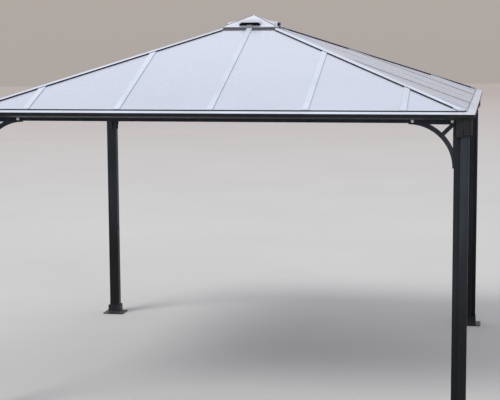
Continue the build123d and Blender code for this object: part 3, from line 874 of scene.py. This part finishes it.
def ridge_seams():
    """Flat dark beads down the four ridges of the vent cap, as painted shade along the ridges."""
    shape = bmesh.new()
    first, second = (seam_ring(reach) for reach in SEAM_ENDS)
    for turn in range(4):
        spin = quarter_turn(turn)
        loft(shape, [spin @ corner for corner in first], [spin @ corner for corner in second])
    piece("ridge_seams", shape, "ridge_shade")


FLASHING_SHEET = 0.003
FLASHING_LIFT = 0.0004
FLASHING_GAP = 0.0005


def vent_corner_flashings():
    """Flat pieces that carry the vent frame's apron on to its corners, two to a corner."""
    shape = bmesh.new()
    tip = VENT_HALF - FLASHING_GAP
    outline = (
        (VENT_HALF, VENT_HALF - HIP_GAP), (VENT_HALF, tip),
        (APRON_REACH, tip), (APRON_REACH, APRON_REACH - HIP_GAP),
    )
    for turn in range(4):
        spin = quarter_turn(turn)
        for side in (-1.0, 1.0):
            faces = [
                [spin @ roof_point(reach, side * along, lift) for reach, along in outline]
                for lift in (FLASHING_LIFT, FLASHING_SHEET)
            ]
            loft(shape, *faces)
    piece("vent_corner_flashings", shape, "vent")


edge_seals()
hip_lips()
bar_end_covers()
gutter_guards()
rim_shade_strips()
louvres()
ridge_seams()
vent_corner_flashings()


# Stage, light and camera

FLOOR_RADIUS = 60.0
FLOOR_SIDES = 96
FLOOR_LEVEL = -0.0005
SKY = (
    (0.0, (0.46, 0.42, 0.39)), (0.18, (0.50, 0.445, 0.41)),
    (0.32, (0.66, 0.60, 0.565)), (0.6, (0.96, 0.98, 1.05)),
)
SKY_LOW_FRONT = (0.16, 0.16, 0.17)
SKY_STRENGTH = 0.9
SUN_ENERGY = 1.6
SUN_ANGLE = radians(25.0)
SUN_TONE = (1.0, 0.985, 0.96)
SUN_PLACE = (-0.42, -0.50, 0.76)
SUN_DISTANCE = 10.0
CAMERA_PLACE = Vector((1.9556, -10.6959, 2.7069))
CAMERA_YAW = -0.1849
CAMERA_PITCH = 0.1245
CAMERA_ROLL = 0.0062
CAMERA_LENS = 96.36
CAMERA_SENSOR = 36.0
CAMERA_CLIP = 200.0


def pale_floor():
    made, tree, shader = new_material("studio_floor")
    inputs = {0: place(tree)}
    away = add_node(tree, "ShaderNodeVectorMath", inputs, operation="LENGTH").outputs["Value"]
    colour = clouded(tree, FLOOR, 0.35, 3.0, low=0.3)
    colour = mix(tree, span(tree, away, 8.0, 50.0), colour, FLOOR_FAR)
    wire(tree, shader, Base_Color=colour)
    settle(shader, Roughness=0.9)
    return made


def make_floor():
    shape = bmesh.new()
    bmesh.ops.create_circle(shape, cap_ends=True, radius=FLOOR_RADIUS, segments=FLOOR_SIDES)
    mesh = bpy.data.meshes.new("floor")
    shape.to_mesh(mesh)
    shape.free()
    mesh.materials.append(pale_floor())
    floor = bpy.data.objects.new("floor", mesh)
    floor.location.z = FLOOR_LEVEL
    bpy.context.scene.collection.objects.link(floor)


def make_world():
    """Soft studio surround: warm and dim low down, pale overhead, darkest low at the front."""
    world = bpy.data.worlds.new("soft_studio")
    bpy.context.scene.world = world
    world.use_nodes = True
    tree = world.node_tree
    direction = add_node(tree, "ShaderNodeTexCoord").outputs["Generated"]
    _, depth, height = split(tree, direction)
    ramp = add_node(tree, "ShaderNodeValToRGB", {"Fac": span(tree, height, -0.1, 0.9)})
    elements = ramp.color_ramp.elements
    for index, (at, colour) in enumerate(SKY):
        element = elements[index] if index < 2 else elements.new(at)
        element.position = at
        element.color = (*colour, 1.0)
    low_front = times(tree, span(tree, depth, 0.2, -0.5), span(tree, height, 0.35, 0.05))
    shaded = mix(tree, low_front, ramp.outputs["Color"], SKY_LOW_FRONT)
    background = tree.nodes["Background"]
    tree.links.new(shaded, background.inputs["Color"])
    background.inputs["Strength"].default_value = SKY_STRENGTH


def make_sun():
    lamp = bpy.data.lights.new("soft_key", "SUN")
    lamp.energy = SUN_ENERGY
    lamp.angle = SUN_ANGLE
    lamp.color = SUN_TONE
    key = bpy.data.objects.new("soft_key", lamp)
    towards = Vector(SUN_PLACE).normalized()
    key.rotation_euler = towards.to_track_quat("Z", "Y").to_euler()
    key.location = towards * SUN_DISTANCE
    bpy.context.scene.collection.objects.link(key)


def make_camera():
    """Camera at the photograph's place and angle; its pitch is downwards."""
    ahead = Vector((
        sin(CAMERA_YAW) * cos(CAMERA_PITCH), cos(CAMERA_YAW) * cos(CAMERA_PITCH),
        -sin(CAMERA_PITCH),
    ))
    level = Vector((cos(CAMERA_YAW), -sin(CAMERA_YAW), 0.0))
    down = ahead.cross(level)
    right = cos(CAMERA_ROLL) * level + sin(CAMERA_ROLL) * down
    down = cos(CAMERA_ROLL) * down - sin(CAMERA_ROLL) * level
    lens = bpy.data.cameras.new("camera")
    lens.lens = CAMERA_LENS
    lens.sensor_width = CAMERA_SENSOR
    lens.clip_end = CAMERA_CLIP
    camera = bpy.data.objects.new("camera", lens)
    turn = Matrix((right, -down, -ahead)).transposed().to_4x4()
    camera.matrix_world = Matrix.Translation(CAMERA_PLACE) @ turn
    bpy.context.scene.collection.objects.link(camera)
    bpy.context.scene.camera = camera


make_floor()
make_world()
make_sun()
make_camera()
bpy.context.scene.view_settings.view_transform = "Standard"
bpy.context.scene.cycles.use_denoising = True
